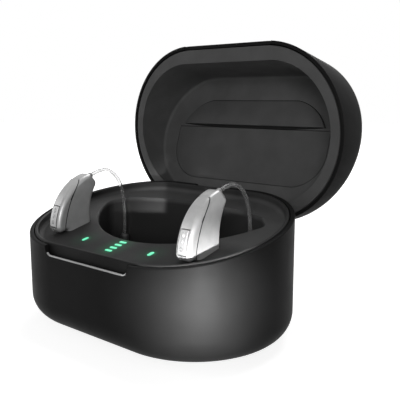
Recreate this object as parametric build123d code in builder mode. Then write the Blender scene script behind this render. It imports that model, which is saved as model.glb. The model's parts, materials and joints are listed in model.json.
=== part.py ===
from build123d import *
from math import asin, cos, degrees, pi, radians, sin, sqrt, tan
import os

# Hearing aid charging case with its two hearing aids, in millimetres.
# X runs along the case, the front faces -Y and +Z is up. The origin is the middle of the rubber
# pad, on the surface that the case stands on. The lid is built standing open.

# Case outline, seen from above: a rectangle with fully round ends
case_length = 100.0
case_depth = 64.0

# Base shell and its bottom
base_wall = 1.5
base_edge_radius = 9.0
rim_height = 37.4           # height of the rim halfway between front and back
rim_tilt = 13.0             # the rim and the deck rise towards the hinge
rim_rounding = 0.4
pad_proud = 0.8             # the rubber pad holds the shell off the table
pad_sunk = 1.0
pad_inset = 18.0
cover_inset = 11.0
cover_thickness = 2.0
cover_gap = 0.15
ledge_width = 5.0
ledge_thickness = 1.4

# Deck tray
seam_gap = 0.3
lip_width = 1.1
lip_proud = 0.2
deck_drop = 2.7             # from the rim down to the deck
deck_thickness = 1.6
deck_cove = 2.0
skirt_thickness = 1.2
skirt_depth = 8.0           # from the rim down to the skirt's lower edge
rib_width = 3.0
rib_reach = 2.4
rib_front_x = 15.6
rib_back_x = 21.6

# Well in the deck
well_floor = 14.0
well_wall = 1.0
well_end_inset = 12.7        # from the case's end in to the well's corner
well_corner_y = 12.3
well_front_y = -13.0
well_back_y = 21.8
well_shoulder_inset = 18.0
well_shoulder_y = 17.4
well_corner_radius = 3.0
well_edge_rounding = 0.7

# Notch in the front of the base and thumb cut in the lid
notch_half = 19.5
notch_bottom = 26.7
notch_corner = 2.5
thumb_half = 20.5
thumb_rise = 0.9

# Lid
lid_wall = 1.3
lid_top_wall = 1.5
lid_height = 19.0           # from the rim up to the top, halfway between front and back
lid_top_tilt = 5.0          # the top falls towards the hinge
lid_edge_radius = 7.0
lid_gap = 0.3               # between the closed lid shell and the base shell
liner_lift = 0.5            # the liner band stays this far above the base rim
liner_wall = 1.2
band_thickness = 1.5
cavity_end_inset = 5.0      # from the case outline in to the lid's hollow, at the ends
cavity_side_inset = 6.7     # and at the front and back
cavity_height = 15.2        # from the rim up to the ceiling of the hollow
cavity_cove = 1.2
ceiling_thickness = 1.7
hold_pad_thickness = 0.9
hold_pad_half = 34.2
hold_pad_straight_half = 21.0
hold_pad_back_y = -5.0
hold_pad_front_y = -15.2
hold_pad_corner_radius = 18.0
hold_pad_tip_radius = 0.6
panel_thickness = 0.75
panel_recess = 0.8
panel_half = 37.0
panel_front_y = -4.0
panel_back_y = 18.3
panel_corner_radius = 14.0
panel_gap = 0.2

# Hinge
hinge_z = 36.0
barrel_radius = 1.8
hinge_pin_radius = 1.0
hinge_running_gap = 0.05
hinge_press_gap = 0.01
open_angle = 102.4
hinge_sweep_gap = 0.35      # round the path of the base's back rim past the open lid
arm_half = 7.9
knuckle_gap = 0.3
knuckle_length = 7.8
arm_web = 1.4               # the arm lies flush in the back of the closed case
arm_web_top = 46.3
tongue_thickness = 1.6
tongue_bottom = 45.2
tongue_top = 48.0
tongue_half = 13.5
arm_screw_x = 10.9
block_plate = 1.5
block_pad = 1.6
block_bottom = 26.0
block_screw_z = 29.0
block_pad_size = 4.0
slot_clearance = 0.3

# Screws and magnets
screw_radius = 1.0
screw_head_radius = 1.9
screw_head_height = 1.2
small_screw_radius = 0.7
small_head_radius = 1.3
small_head_height = 0.7
boss_radius = 2.4
short_boss_height = 4.0
screw_ring_inset = 13.5
screw_tip_gap = 1.0
arm_screw_bite = 0.45
close_gap = 0.05            # clearance round screws, contacts and light windows
flush_gap = 0.1             # how far a flush piece stays below its neighbour's face
magnet_radius = 1.4
magnet_thickness = 2.0
magnet_x = 25.0
base_magnet_gap = 0.5       # from the deck's skirt
arm_slot_gap = 0.2

# Lights on the deck
status_x = 15.6
status_y = -18.3
status_length = 2.6
status_width = 1.3
battery_light_count = 4
battery_light_front_y = -21.7
battery_light_pitch = 2.1
battery_light_length = 3.0
battery_light_width = 0.95
light_proud = 0.1
light_chip = 0.8
light_chip_height = 0.8
light_chip_gap = 0.2
light_board_half = 22.0
light_board_front = 2.4       # ahead of the front battery light
light_board_behind = 0.45      # behind the back battery light
light_post_x = 19.2
board_thickness = 1.0

# Main board, battery and charging socket
battery_length = 50.0
battery_boss_gap = 2.1
battery_height = 5.0
battery_edge_radius = 1.0
battery_clearance = 0.3
main_board_lift = 0.3       # from the battery up to the board
main_board_half = 26.0
main_board_front = -14.0
main_board_back = 26.8
socket_width = 8.9
socket_height = 3.2
socket_length = 7.4
socket_shell = 0.35
socket_gap = 0.25
socket_tongue_width = 6.2
socket_tongue_length = 6.7
socket_tongue_thickness = 0.7

# Hearing aids: side profiles are measured from the middle of the foot's lower face
aid_from_arc = 12.3          # along the case, from the middle of the outline's end arc
aid_y = -10.8
aid_width = 6.0
aid_rounding = 1.6
aid_corner = 1.9
aid_inner_corner = 0.6
foot_half_depth = 5.05
foot_bottom = 22.5
pocket_gap = 0.3
cradle_wall = 0.8
cradle_floor = 1.0
aid_rest_gap = 0.3
spine_gap = 0.12
aid_wall = 1.0
contact_pitch = 5.0
contact_radius = 0.5
charge_pad_radius = 1.0
charge_pad_thickness = 0.3
contact_gap = 0.2
contact_board_length = 12.0
contact_board_width = 8.0
cell_height = 11.0
rocker_low = 10.4
rocker_high = 17.6
rocker_width = 3.0
rocker_thickness = 1.0
rocker_proud = 0.35
rocker_gap = 0.3
rocker_pin_radius = 0.5
circuit_width = 3.6
microphone_length = 2.3
microphone_width = 0.6
microphone_depth = 0.4
microphone_screen = 0.2
microphone_middle = (-3.35, 20.4)
microphone_angle = 59.0     # from level, in the side view

# Receiver wires
wire_diameter = 1.3
wire_plug_radius = 0.95
wire_plug_length = 3.4
wire_plug_angle = 18.2
receiver_radius = 1.6
receiver_length = 6.0
receiver_seat_gap = 0.07
dome_radius = 3.5
dome_bulge_radius = 2.95
dome_bulge_drop = 1.45
dome_neck_length = 2.2
dome_wall = 0.6
dome_floor_gap = 0.3
wire_arc_share = 0.45

os.makedirs("parts", exist_ok=True)
nodes = []


def save(part, name):
    part.label = name
    export_step(part, f"parts/{name}.step")
    nodes.append(name)


# Planes and places worked out from the sizes
rim_plane = Plane(
    origin=(0, 0, rim_height),
    x_dir=(1, 0, 0),
    z_dir=(0, -sin(radians(rim_tilt)), cos(radians(rim_tilt))),
)
deck_plane = rim_plane.offset(-deck_drop)
top_normal = (0, sin(radians(lid_top_tilt)), cos(radians(lid_top_tilt)))
top_plane = Plane(origin=(0, 0, rim_height + lid_height), x_dir=(1, 0, 0), z_dir=top_normal)
ceiling_plane = Plane(origin=(0, 0, rim_height + cavity_height), x_dir=(1, 0, 0), z_dir=top_normal)

front = -case_depth / 2
back = case_depth / 2
end_radius = case_depth / 2
straight_half = (case_length - case_depth) / 2
tall = case_length          # longer than any cut through the case needs

hinge_y = back - barrel_radius
lid_turn = (
    Pos(0, hinge_y, hinge_z) * Rot(-open_angle, 0, 0) * Pos(0, -hinge_y, -hinge_z)
)

tray_inset = base_wall + seam_gap
lip_inner_inset = tray_inset + lip_width
cavity_length = case_length - 2 * cavity_end_inset
cavity_depth = case_depth - 2 * cavity_side_inset
well_half_length = case_length / 2 - well_end_inset
well_shoulder_x = case_length / 2 - well_shoulder_inset
aid_x = straight_half + aid_from_arc
floor_top = pad_proud + cover_thickness + ledge_thickness
battery_bottom = pad_proud + cover_thickness + battery_clearance
main_board_bottom = battery_bottom + battery_height + main_board_lift
main_board_top = main_board_bottom + board_thickness
socket_z = main_board_top + socket_height / 2
hinge_window_half = arm_half + knuckle_gap + knuckle_length + slot_clearance
hinge_window_reach = barrel_radius + 2 * slot_clearance
knuckle_middle = arm_half + knuckle_gap + knuckle_length / 2


def opened(plane):
    """The place of a closed lid's plane when the lid stands open."""
    return Plane(lid_turn * plane.location)


def rim_z(y):
    """Height of the rim at a distance from the middle of the case."""
    return rim_height + y * tan(radians(rim_tilt))


def deck_row(y):
    """Distance up the sloping deck of a point of its surface."""
    return (y - deck_plane.origin.Y) / cos(radians(rim_tilt))


def outline(inset, mode=Mode.ADD):
    """The case outline, drawn in by an inset."""
    SlotOverall(case_length - 2 * inset, case_depth - 2 * inset, mode=mode)


def edges_on(shape, plane):
    return shape.edges().filter_by(lambda e: abs(plane.to_local_coords(e.center()).Z) < 0.01)


def mirrored_x(x, y):
    return [(-x, y), (x, y)]


screw_ring_radius = end_radius - screw_ring_inset
battery_width = 2 * (screw_ring_radius - boss_radius - battery_boss_gap)
cover_screw_places = [
    (x, y)
    for x in (-straight_half, straight_half)
    for y in (-screw_ring_radius, screw_ring_radius)
]
tray_screw_places = mirrored_x(straight_half + screw_ring_radius, 0)

status_places = mirrored_x(status_x, deck_row(status_y))
battery_light_places = [
    (0, deck_row(battery_light_front_y + row * battery_light_pitch))
    for row in range(battery_light_count)
]
light_post_places = mirrored_x(light_post_x, deck_row(status_y))

# Base shell
with BuildPart() as base_core:
    with BuildSketch(Plane.XY.offset(floor_top)):
        outline(base_wall)
    extrude(amount=tall)
    fillet(base_core.faces().sort_by(Axis.Z)[0].edges(), base_edge_radius - base_wall)

rib_end = case_length / 2 - base_wall - rib_reach / 2
with BuildPart() as skirt_ribs:
    with BuildSketch(Plane.XY.offset(pad_proud + base_edge_radius)):
        with Locations(*mirrored_x(rib_front_x, front + base_wall + rib_reach / 2)):
            Rectangle(rib_width, rib_reach + base_wall)
        with Locations(*mirrored_x(rib_back_x, back - base_wall - rib_reach / 2)):
            Rectangle(rib_width, rib_reach + base_wall)
        with Locations(*mirrored_x(rib_end, 0)):
            Rectangle(rib_reach + base_wall, rib_width)
    extrude(amount=tall)
    split(bisect_by=rim_plane.offset(-skirt_depth), keep=Keep.BOTTOM)

with BuildPart() as base_shell:
    with BuildSketch(Plane.XY.offset(pad_proud)):
        outline(0)
    extrude(amount=tall)
    split(bisect_by=rim_plane, keep=Keep.BOTTOM)
    fillet(base_shell.faces().sort_by(Axis.Z)[0].edges(), base_edge_radius)
    add(base_core.part, mode=Mode.SUBTRACT)
    fillet(edges_on(base_shell, rim_plane), rim_rounding)
    add(skirt_ribs.part)
    with BuildSketch(Plane.XY.offset(pad_proud)):
        outline(cover_inset + ledge_width)
    extrude(amount=cover_thickness + ledge_thickness, mode=Mode.SUBTRACT)
    with BuildSketch(Plane.XY.offset(pad_proud)):
        outline(cover_inset)
    extrude(amount=cover_thickness, mode=Mode.SUBTRACT)
    with BuildSketch(Plane.XY.offset(floor_top)):
        with Locations(*cover_screw_places):
            Circle(boss_radius)
    extrude(amount=short_boss_height)
    with BuildSketch(Plane.XY.offset(pad_proud)):
        with Locations(*cover_screw_places, *tray_screw_places):
            Circle(screw_radius + close_gap)
    extrude(amount=cover_thickness + ledge_thickness + short_boss_height, mode=Mode.SUBTRACT)
    # Notch at the front
    with BuildSketch(Plane.XZ.offset(-front)) as notch:
        with BuildLine():
            FilletPolyline(
                (-notch_half, rim_z(front) + deck_drop),
                (-notch_half, notch_bottom),
                (notch_half, notch_bottom),
                (notch_half, rim_z(front) + deck_drop),
                radius=notch_corner,
            )
            Line((notch_half, rim_z(front) + deck_drop), (-notch_half, rim_z(front) + deck_drop))
        make_face()
    extrude(amount=base_wall + seam_gap, both=True, mode=Mode.SUBTRACT)
    # Hinge window, with a slot above it that the lid's arm closes into
    with BuildSketch(Plane.XZ.offset(-back)):
        with Locations((0, hinge_z)):
            Rectangle(2 * hinge_window_half, 2 * hinge_window_reach)
        with Locations((0, hinge_z)):
            Rectangle(2 * (arm_half + slot_clearance), tall, align=(Align.CENTER, Align.MIN))
    extrude(amount=base_wall * 1.5, both=True, mode=Mode.SUBTRACT)
    # Pads for the hinge block
    with BuildSketch(Plane.XZ.offset(-back + base_wall)):
        with Locations(*mirrored_x(knuckle_middle, block_screw_z)):
            Rectangle(block_pad_size, block_pad_size)
    extrude(amount=block_pad)
    with BuildSketch(Plane.XZ.offset(-back + base_wall + block_pad)):
        with Locations(*mirrored_x(knuckle_middle, block_screw_z)):
            Circle(small_screw_radius)
    extrude(amount=-block_pad, mode=Mode.SUBTRACT)
    # Opening for the charging socket
    with BuildSketch(Plane.XZ.offset(-back)):
        with Locations((0, socket_z)):
            SlotOverall(socket_width + 2 * socket_gap, socket_height + 2 * socket_gap)
    extrude(amount=base_wall * 2, both=True, mode=Mode.SUBTRACT)
save(base_shell.part, "base_shell")

# Bottom cover, its rubber pad and the screws
with BuildPart() as bottom_cover:
    with BuildSketch(Plane.XY.offset(pad_proud)):
        outline(cover_inset + cover_gap)
    extrude(amount=cover_thickness)
    with BuildSketch(Plane.XY.offset(pad_proud)):
        outline(pad_inset - cover_gap)
    extrude(amount=pad_sunk, mode=Mode.SUBTRACT)
    with Locations(Plane.XY.offset(pad_proud)):
        with Locations(*[(x, y, 0) for x, y in cover_screw_places + tray_screw_places]):
            Cylinder(
                screw_head_radius + cover_gap,
                screw_head_height,
                align=(Align.CENTER, Align.CENTER, Align.MIN),
                mode=Mode.SUBTRACT,
            )
            Cylinder(
                screw_radius + close_gap,
                cover_thickness,
                align=(Align.CENTER, Align.CENTER, Align.MIN),
                mode=Mode.SUBTRACT,
            )
save(bottom_cover.part, "bottom_cover")

with BuildPart() as rubber_pad:
    with BuildSketch(Plane.XY):
        outline(pad_inset)
    extrude(amount=pad_proud + pad_sunk)
    fillet(rubber_pad.faces().sort_by(Axis.Z)[0].edges(), pad_proud / 2)
save(rubber_pad.part, "rubber_pad")

screw_head_bottom = pad_proud + flush_gap
with BuildPart() as bottom_screws:
    with BuildSketch(Plane.XY.offset(screw_head_bottom)):
        with Locations(*cover_screw_places, *tray_screw_places):
            Circle(screw_head_radius)
    extrude(amount=screw_head_height - flush_gap)
    with BuildSketch(Plane.XY.offset(pad_proud + screw_head_height)):
        with Locations(*cover_screw_places, *tray_screw_places):
            Circle(screw_radius)
    extrude(
        amount=cover_thickness - screw_head_height + ledge_thickness + short_boss_height - screw_tip_gap
    )
save(bottom_screws.part, "bottom_screws")


def pocket_outline(gap):
    """Outline of a hearing aid's foot, with a gap all round, at both sides of the case."""
    with Locations(*mirrored_x(aid_x, aid_y)):
        RectangleRounded(aid_width + 2 * gap, 2 * (foot_half_depth + gap), aid_rounding + gap)


# Deck tray
with BuildPart() as well_core:
    with BuildSketch(Plane.XY.offset(well_floor)) as well_sketch:
        with BuildLine():
            ThreePointArc(
                (-well_half_length, well_corner_y),
                (0, well_front_y),
                (well_half_length, well_corner_y),
            )
            Line((well_half_length, well_corner_y), (well_shoulder_x, well_shoulder_y))
            ThreePointArc(
                (well_shoulder_x, well_shoulder_y),
                (0, well_back_y),
                (-well_shoulder_x, well_shoulder_y),
            )
            Line((-well_shoulder_x, well_shoulder_y), (-well_half_length, well_corner_y))
        make_face()
        fillet(well_sketch.vertices().sort_by(Axis.X)[0], well_corner_radius)
        fillet(well_sketch.vertices().sort_by(Axis.X)[-1], well_corner_radius)
    extrude(amount=tall)

with BuildPart() as well_tub:
    with BuildSketch(Plane.XY.offset(well_floor - well_wall)):
        add(well_sketch.sketch_local)
        offset(amount=well_wall)
    extrude(amount=tall)
    split(bisect_by=deck_plane, keep=Keep.BOTTOM)

with BuildPart() as tray_skirt:
    with BuildSketch(Plane.XY):
        outline(tray_inset)
        outline(tray_inset + skirt_thickness, Mode.SUBTRACT)
    extrude(amount=tall)
    split(bisect_by=deck_plane, keep=Keep.BOTTOM)
    split(bisect_by=rim_plane.offset(-skirt_depth), keep=Keep.TOP)

with BuildPart() as deck_recess:
    with BuildSketch(Plane.XY):
        outline(lip_inner_inset)
    extrude(amount=tall)
    split(bisect_by=deck_plane, keep=Keep.TOP)
    fillet(edges_on(deck_recess, deck_plane), deck_cove)

with BuildPart() as tray_bosses:
    with BuildSketch(Plane.XY.offset(floor_top)):
        with Locations(*tray_screw_places):
            Circle(boss_radius)
    extrude(amount=tall)
    split(bisect_by=deck_plane, keep=Keep.BOTTOM)

light_plane = deck_plane.offset(-deck_thickness)
light_board_drop = light_chip_height + light_chip_gap
with BuildPart() as deck_tray:
    with BuildSketch(Plane.XY):
        outline(tray_inset)
    extrude(amount=tall)
    split(bisect_by=rim_plane.offset(lip_proud), keep=Keep.BOTTOM)
    split(bisect_by=light_plane, keep=Keep.TOP)
    add(deck_recess.part, mode=Mode.SUBTRACT)
    fillet(edges_on(deck_tray, rim_plane.offset(lip_proud)), rim_rounding)
    add(tray_skirt.part)
    add(well_tub.part)
    add(tray_bosses.part)
    with BuildSketch(light_plane):
        with Locations(*light_post_places):
            Circle(small_head_radius)
    extrude(amount=-light_board_drop)
    with BuildSketch(light_plane):
        with Locations(*light_post_places):
            Circle(small_screw_radius + close_gap)
    extrude(amount=-light_board_drop, mode=Mode.SUBTRACT)
    add(well_core.part, mode=Mode.SUBTRACT)
    fillet(edges_on(deck_tray, deck_plane).filter_by(lambda e: abs(e.center().Y) < well_back_y)
           .filter_by(lambda e: abs(e.center().X) < well_half_length), well_edge_rounding)
    with BuildSketch(Plane.XY.offset(foot_bottom)):
        pocket_outline(pocket_gap)
    extrude(amount=tall, mode=Mode.SUBTRACT)
    with BuildSketch(Plane.XY.offset(floor_top)):
        with Locations(*tray_screw_places):
            Circle(screw_radius + close_gap)
    extrude(amount=short_boss_height, mode=Mode.SUBTRACT)
    # Light windows
    with BuildSketch(deck_plane):
        with Locations(*status_places):
            SlotOverall(status_length + 2 * close_gap, status_width + 2 * close_gap, rotation=90)
        with Locations(*battery_light_places):
            SlotOverall(battery_light_length + 2 * close_gap, battery_light_width + 2 * close_gap)
    extrude(amount=-deck_thickness, mode=Mode.SUBTRACT)
    # Room for the hinge below the lip
    with BuildSketch(Plane.XY.offset(block_bottom)):
        with Locations((0, hinge_y - barrel_radius - slot_clearance - block_plate)):
            Rectangle(2 * hinge_window_half, tall, align=(Align.CENTER, Align.MIN))
    extrude(
        amount=hinge_z + barrel_radius + slot_clearance - block_bottom, mode=Mode.SUBTRACT
    )
save(deck_tray.part, "deck_tray")


# Cradles under the deck, with spring contacts and their boards
cradle_bottom = foot_bottom - aid_rest_gap - cradle_floor
contact_places = [(aid_y - contact_pitch / 2), (aid_y + contact_pitch / 2)]
for side, x in (("left", -aid_x), ("right", aid_x)):
    with BuildPart() as cradle:
        with BuildSketch(Plane.XY.offset(cradle_bottom)):
            with Locations((x, aid_y)):
                RectangleRounded(
                    aid_width + 2 * (pocket_gap + cradle_wall),
                    2 * (foot_half_depth + pocket_gap + cradle_wall),
                    aid_rounding + pocket_gap + cradle_wall,
                )
        extrude(amount=tall)
        split(bisect_by=light_plane, keep=Keep.BOTTOM)
        with BuildSketch(Plane.XY.offset(cradle_bottom + cradle_floor)):
            pocket_outline(pocket_gap)
        extrude(amount=tall, mode=Mode.SUBTRACT)
        with BuildSketch(Plane.XY.offset(cradle_bottom)):
            with Locations(*[(x, y) for y in contact_places]):
                Circle(contact_radius + close_gap)
        extrude(amount=cradle_floor, mode=Mode.SUBTRACT)
    save(cradle.part, f"{side}_cradle")

    with BuildPart() as contact_board:
        with BuildSketch(Plane.XY.offset(cradle_bottom - board_thickness)):
            with Locations((x, aid_y)):
                Rectangle(contact_board_width, contact_board_length)
            with Locations(*[(x, y) for y in contact_places]):
                Circle(contact_radius + close_gap, mode=Mode.SUBTRACT)
        extrude(amount=board_thickness)
    save(contact_board.part, f"{side}_contact_board")

    with BuildPart() as spring_contacts:
        with BuildSketch(Plane.XY.offset(cradle_bottom - board_thickness)):
            with Locations(*[(x, y) for y in contact_places]):
                Circle(contact_radius)
        extrude(amount=board_thickness + cradle_floor + aid_rest_gap - contact_gap)
    save(spring_contacts.part, f"{side}_spring_contacts")

# Light windows, flush in the deck
light_length = deck_thickness + light_proud
for side, place in zip(("left", "right"), status_places):
    with BuildPart() as status_light:
        with BuildSketch(deck_plane.offset(light_proud)):
            with Locations(place):
                SlotOverall(status_length, status_width, rotation=90)
        extrude(amount=-light_length)
    save(status_light.part, f"{side}_status_light")

for number, place in enumerate(battery_light_places, start=1):
    with BuildPart() as battery_light:
        with BuildSketch(deck_plane.offset(light_proud)):
            with Locations(place):
                SlotOverall(battery_light_length, battery_light_width)
        extrude(amount=-light_length)
    save(battery_light.part, f"battery_light_{number}")

# Light board, its lamps and its screws
light_board_top = light_plane.offset(-light_board_drop)
board_front = battery_light_places[0][1] - light_board_front
board_back = battery_light_places[-1][1] + light_board_behind
with BuildPart() as light_board:
    with BuildSketch(light_board_top):
        with Locations((0, (board_front + board_back) / 2)):
            Rectangle(2 * light_board_half, board_back - board_front)
        with Locations(*light_post_places):
            Circle(small_screw_radius + close_gap, mode=Mode.SUBTRACT)
    extrude(amount=-board_thickness)
save(light_board.part, "light_board")

with BuildPart() as lamps:
    with BuildSketch(light_board_top):
        with Locations(*status_places, *battery_light_places):
            Rectangle(light_chip, light_chip)
    extrude(amount=light_chip_height)
save(lamps.part, "light_board_lamps")

with BuildPart() as board_screws:
    with BuildSketch(light_board_top.offset(-board_thickness)):
        with Locations(*light_post_places):
            Circle(small_head_radius)
    extrude(amount=-small_head_height)
    with BuildSketch(light_board_top.offset(-board_thickness)):
        with Locations(*light_post_places):
            Circle(small_screw_radius)
    extrude(amount=board_thickness + light_board_drop)
save(board_screws.part, "board_screws")

# Battery pack, main board and charging socket
with BuildPart() as battery_pack:
    with BuildSketch(Plane.XY.offset(battery_bottom)):
        RectangleRounded(battery_length, battery_width, battery_height / 2)
    extrude(amount=battery_height)
    fillet(battery_pack.edges().group_by(Axis.Z)[0], battery_edge_radius)
    fillet(battery_pack.edges().group_by(Axis.Z)[-1], battery_edge_radius)
save(battery_pack.part, "battery_pack")

with BuildPart() as main_board:
    with BuildSketch(Plane.XY.offset(main_board_bottom)):
        with Locations((0, main_board_front)):
            Rectangle(
                2 * main_board_half,
                main_board_back - main_board_front,
                align=(Align.CENTER, Align.MIN),
            )
    extrude(amount=board_thickness)
save(main_board.part, "main_board")

socket_mouth = back - base_wall / 2
with BuildPart() as charging_socket:
    with BuildSketch(Plane.XZ.offset(-socket_mouth)):
        with Locations((0, socket_z)):
            SlotOverall(socket_width, socket_height)
    extrude(amount=socket_length)
    with BuildSketch(Plane.XZ.offset(-socket_mouth)):
        with Locations((0, socket_z)):
            SlotOverall(socket_width - 2 * socket_shell, socket_height - 2 * socket_shell)
    extrude(amount=socket_length - board_thickness, mode=Mode.SUBTRACT)
    with BuildSketch(Plane.XZ.offset(-socket_mouth + socket_length)):
        with Locations((0, socket_z)):
            Rectangle(socket_tongue_width, socket_tongue_thickness)
    extrude(amount=-socket_tongue_length)
save(charging_socket.part, "charging_socket")

# Magnets that hold the lid closed: under the deck just inside its skirt, and above the liner
# band, midway between the liner's tub and the lid shell
magnet_from_arc = magnet_x - straight_half
base_magnet_ring = end_radius - tray_inset - skirt_thickness - magnet_radius - base_magnet_gap
base_magnet_y = -sqrt(base_magnet_ring**2 - magnet_from_arc**2)
tub_from_arc = magnet_x - (cavity_length - cavity_depth) / 2
tub_wall_y = sqrt((cavity_depth / 2 + liner_wall) ** 2 - tub_from_arc**2)
lid_wall_y = sqrt((end_radius - lid_wall) ** 2 - magnet_from_arc**2)
lid_magnet_y = magnet_thickness * sin(radians(rim_tilt)) / 2 - (tub_wall_y + lid_wall_y) / 2
with BuildPart() as base_magnets:
    with BuildSketch(light_plane):
        with Locations(*mirrored_x(magnet_x, deck_row(base_magnet_y))):
            Circle(magnet_radius)
    extrude(amount=-magnet_thickness)
save(base_magnets.part, "base_magnets")

# Hinge block with its two knuckles, its screws, and the hinge pin
knuckle_start = arm_half + knuckle_gap
block_back = back - base_wall - block_pad
with BuildPart() as hinge_block:
    with BuildSketch(Plane.XZ.offset(-block_back)):
        with Locations((0, block_bottom)):
            Rectangle(
                2 * (knuckle_start + knuckle_length),
                hinge_z - barrel_radius - 2 * slot_clearance - block_bottom,
                align=(Align.CENTER, Align.MIN),
            )
    extrude(amount=block_plate)
    for side in (-1, 1):
        with BuildSketch(Plane.YZ.offset(side * knuckle_start)):
            with Locations((hinge_y, hinge_z)):
                Circle(barrel_radius)
            with Locations((block_back, hinge_z)):
                Rectangle(block_plate, hinge_z - block_screw_z, align=(Align.MAX, Align.MAX))
            with Locations((block_back - block_plate, hinge_z)):
                Rectangle(
                    hinge_y - block_back + block_plate, barrel_radius, align=(Align.MIN, Align.MAX)
                )
        extrude(amount=side * knuckle_length)
    with BuildSketch(Plane.YZ.offset(-tall)):
        with Locations((hinge_y, hinge_z)):
            Circle(hinge_pin_radius + hinge_press_gap)
    extrude(amount=2 * tall, mode=Mode.SUBTRACT)
    with BuildSketch(Plane.XZ.offset(-block_back)):
        with Locations(*mirrored_x(knuckle_middle, block_screw_z)):
            Circle(small_screw_radius + close_gap)
    extrude(amount=block_plate, mode=Mode.SUBTRACT)
save(hinge_block.part, "hinge_block")

with BuildPart() as block_screws:
    with BuildSketch(Plane.XZ.offset(-block_back + block_plate)):
        with Locations(*mirrored_x(knuckle_middle, block_screw_z)):
            Circle(small_head_radius)
    extrude(amount=small_head_height)
    with BuildSketch(Plane.XZ.offset(-block_back + block_plate)):
        with Locations(*mirrored_x(knuckle_middle, block_screw_z)):
            Circle(small_screw_radius - close_gap)
    extrude(amount=-(block_plate + block_pad - flush_gap))
save(block_screws.part, "hinge_block_screws")

with BuildPart() as hinge_pin:
    with BuildSketch(Plane.YZ.offset(-knuckle_start - knuckle_length)):
        with Locations((hinge_y, hinge_z)):
            Circle(hinge_pin_radius)
    extrude(amount=2 * (knuckle_start + knuckle_length))
save(hinge_pin.part, "hinge_pin")

# Lid shell, drawn closed and built on planes turned open about the hinge
lid_base = opened(Plane.XY)
arm_screw_places = mirrored_x(arm_screw_x, (tongue_bottom + tongue_top) / 2)
lid_top_plane = opened(top_plane)
lid_back_plane = Plane.XZ.offset(-back)

with BuildPart() as lid_core:
    with BuildSketch(lid_base):
        outline(lid_wall)
    extrude(amount=tall)
    split(bisect_by=opened(top_plane.offset(-lid_top_wall)), keep=Keep.BOTTOM)
    fillet(edges_on(lid_core, opened(top_plane.offset(-lid_top_wall))), lid_edge_radius - lid_wall)

with BuildPart() as lid_shell:
    with BuildSketch(lid_base):
        outline(0)
    extrude(amount=tall)
    split(bisect_by=lid_top_plane, keep=Keep.BOTTOM)
    split(bisect_by=opened(rim_plane.offset(lid_gap)), keep=Keep.TOP)
    fillet(edges_on(lid_shell, lid_top_plane), lid_edge_radius)
    add(lid_core.part, mode=Mode.SUBTRACT)
    fillet(edges_on(lid_shell, opened(rim_plane.offset(lid_gap))), rim_rounding)
    # Thumb cut at the front
    with BuildSketch(opened(Plane.XZ.offset(-front - lid_wall - seam_gap))):
        with Locations((0, rim_z(front))):
            RectangleRounded(2 * thumb_half, 2 * (thumb_rise + lid_gap), thumb_rise / 2)
    extrude(amount=2 * lid_wall, mode=Mode.SUBTRACT)
    # Slot at the back for the hinge arm
    with BuildSketch(opened(lid_back_plane)):
        with Locations((0, hinge_z)):
            Rectangle(
                2 * (arm_half + arm_slot_gap),
                arm_web_top - hinge_z + arm_slot_gap,
                align=(Align.CENTER, Align.MIN),
            )
    extrude(amount=2 * lid_wall, both=True, mode=Mode.SUBTRACT)
    with BuildSketch(opened(lid_back_plane)):
        with Locations(*arm_screw_places):
            Circle(small_screw_radius)
    extrude(amount=2 * lid_wall, mode=Mode.SUBTRACT)
    with BuildSketch(opened(lid_back_plane)):
        with Locations(*arm_screw_places):
            Circle(small_screw_radius)
    extrude(amount=arm_screw_bite)
save(lid_shell.part, "lid_shell")

# Lid liner: a band round the rim and a tub behind it
lid_ceiling = opened(ceiling_plane)
with BuildPart() as cavity_core:
    with BuildSketch(lid_base):
        SlotOverall(cavity_length, cavity_depth)
    extrude(amount=tall)
    split(bisect_by=lid_ceiling, keep=Keep.BOTTOM)
    fillet(edges_on(cavity_core, lid_ceiling), cavity_cove)

with BuildPart() as liner_band:
    with BuildSketch(lid_base):
        outline(lid_wall + seam_gap)
    extrude(amount=tall)
    split(bisect_by=opened(rim_plane.offset(liner_lift + band_thickness)), keep=Keep.BOTTOM)

liner_top = opened(ceiling_plane.offset(ceiling_thickness))
with BuildPart() as lid_liner:
    with BuildSketch(lid_base):
        SlotOverall(cavity_length + 2 * liner_wall, cavity_depth + 2 * liner_wall)
    extrude(amount=tall)
    split(bisect_by=liner_top, keep=Keep.BOTTOM)
    fillet(edges_on(lid_liner, liner_top), cavity_cove + liner_wall)
    add(liner_band.part)
    split(bisect_by=opened(rim_plane.offset(liner_lift)), keep=Keep.TOP)
    fillet(
        edges_on(lid_liner, opened(rim_plane.offset(liner_lift))),
        rim_rounding,
    )
    add(cavity_core.part, mode=Mode.SUBTRACT)
    # Relief for the base's back rim, which passes the band as the lid closes
    with BuildSketch(opened(Plane.YZ.offset(-tall))):
        with Locations((hinge_y, hinge_z)):
            Circle(sqrt((back - hinge_y) ** 2 + (rim_z(back) - hinge_z) ** 2) + hinge_sweep_gap)
    extrude(amount=2 * tall, mode=Mode.SUBTRACT)
    # Recess for the panel, and room for the hinge arm
    with BuildSketch(lid_ceiling) as panel_recess_sketch:
        with BuildLine():
            FilletPolyline(
                (-panel_half, panel_front_y),
                (-panel_half, panel_back_y),
                (panel_half, panel_back_y),
                (panel_half, panel_front_y),
                radius=panel_corner_radius,
            )
            Line((panel_half, panel_front_y), (-panel_half, panel_front_y))
        make_face()
    extrude(amount=panel_recess, mode=Mode.SUBTRACT)
    with BuildSketch(lid_base):
        with Locations((0, hinge_y + barrel_radius)):
            Rectangle(
                2 * (tongue_half + seam_gap),
                2 * (tongue_thickness + arm_web + seam_gap + small_head_height),
            )
    extrude(amount=tall, mode=Mode.SUBTRACT)
save(lid_liner.part, "lid_liner")

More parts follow.
